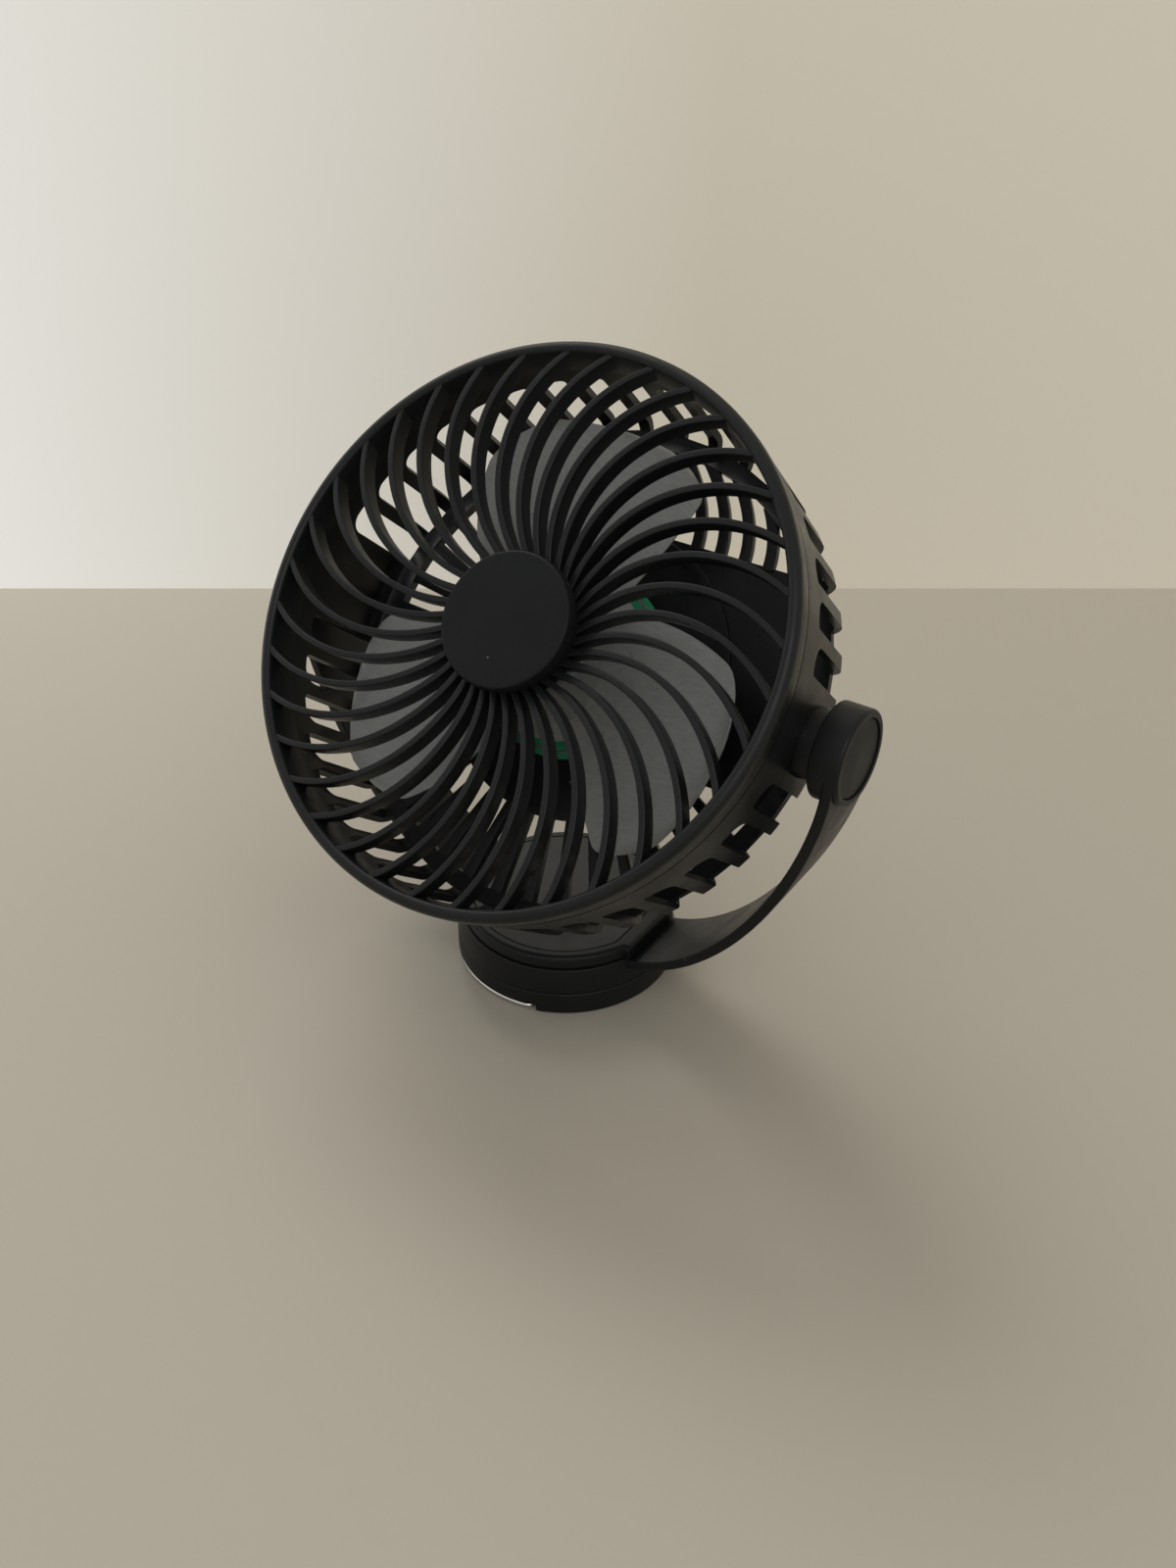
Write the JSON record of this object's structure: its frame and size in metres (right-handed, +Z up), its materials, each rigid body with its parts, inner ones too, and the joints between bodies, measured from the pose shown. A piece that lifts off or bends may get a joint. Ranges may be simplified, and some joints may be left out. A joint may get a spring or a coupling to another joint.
{
  "type": "desk fan",
  "caption": "Small black desk and camping fan: round base with folding wire hook, turning yoke, tilting round head with swirl grille and smoky impeller.",
  "frame": {"origin": "middle of the foot pad, on the surface that the fan stands on", "axes": "+Z up, +X along the tilt axis towards the right arm seen from the front, -Y the way the head faces"},
  "size_m": [0.1924, 0.1452, 0.1928],
  "materials": {
    "shell_plastic": "fine matte",
    "yoke_plastic": "fine matte",
    "inlay_plastic": "satin",
    "button_rubber": "matte",
    "foot_rubber": "matte",
    "wire_steel": "bright, drawn",
    "screw_steel": "zinc plated",
    "bearing_brass": "plain",
    "blade_plastic": "smoky, see-through",
    "board_green": "solder mask",
    "cell_wrap": "foil wrap",
    "coil_copper": "enamelled wire",
    "plug_nylon": "nylon",
    "magnet_black": "black",
    "lens_clear": "frosted"
  },
  "bodies": {
    "base": {"base_shell": "yoke_plastic", "foot_pad": "foot_rubber", "swivel_screw": "screw_steel", "swivel_washer": "screw_steel"},
    "hook": {"hook_wire": "wire_steel"},
    "yoke": {"yoke_moulding": "yoke_plastic", "ring_cover": "yoke_plastic", "cover_inlay": "inlay_plastic", "boss_cap_right": "inlay_plastic", "boss_cap_left": "inlay_plastic", "battery_pack": "cell_wrap", "control_board": "board_green", "tact_switch": "magnet_black", "charging_port": "screw_steel", "charge_lens": "lens_clear"},
    "button": {"power_button": "button_rubber"},
    "head": {"front_grille": "shell_plastic", "hub_cap": "shell_plastic", "rear_housing": "shell_plastic", "pivot_washer_right": "screw_steel", "pivot_washer_left": "screw_steel", "pivot_screw_right": "screw_steel", "pivot_screw_left": "screw_steel", "motor_board": "board_green", "board_plug": "plug_nylon", "bearing_tube": "bearing_brass", "motor_stator": "coil_copper"},
    "spinner": {"impeller": "blade_plastic", "magnet_ring": "magnet_black", "motor_shaft": "screw_steel", "shaft_collar": "bearing_brass"}
  },
  "joints": [
    {"name": "hook_fold", "type": "hinge", "parent": "base", "child": "hook", "pos_m": [0, 0, 0.0016], "axis": [0.2756, -0.9613, 0], "range_deg": [0, 90]},
    {"name": "swivel", "type": "hinge", "parent": "base", "child": "yoke", "pos_m": [0, 0, 0.00825], "axis": [0, 0, 1], "continuous": true},
    {"name": "tilt", "type": "hinge", "parent": "yoke", "child": "head", "pos_m": [0, 0, 0.1087], "axis": [1, 0, 0], "range_deg": [-130, 48]},
    {"name": "spin", "type": "hinge", "parent": "head", "child": "spinner", "pos_m": [0, 0, 0.1087], "axis": [0, -0.7408, 0.6717], "continuous": true},
    {"name": "press", "type": "slide", "parent": "yoke", "child": "button", "axis": [0, -1, 0], "range_m": [0, 0.0008], "stiffness_N_per_m": 1500}
  ]
}
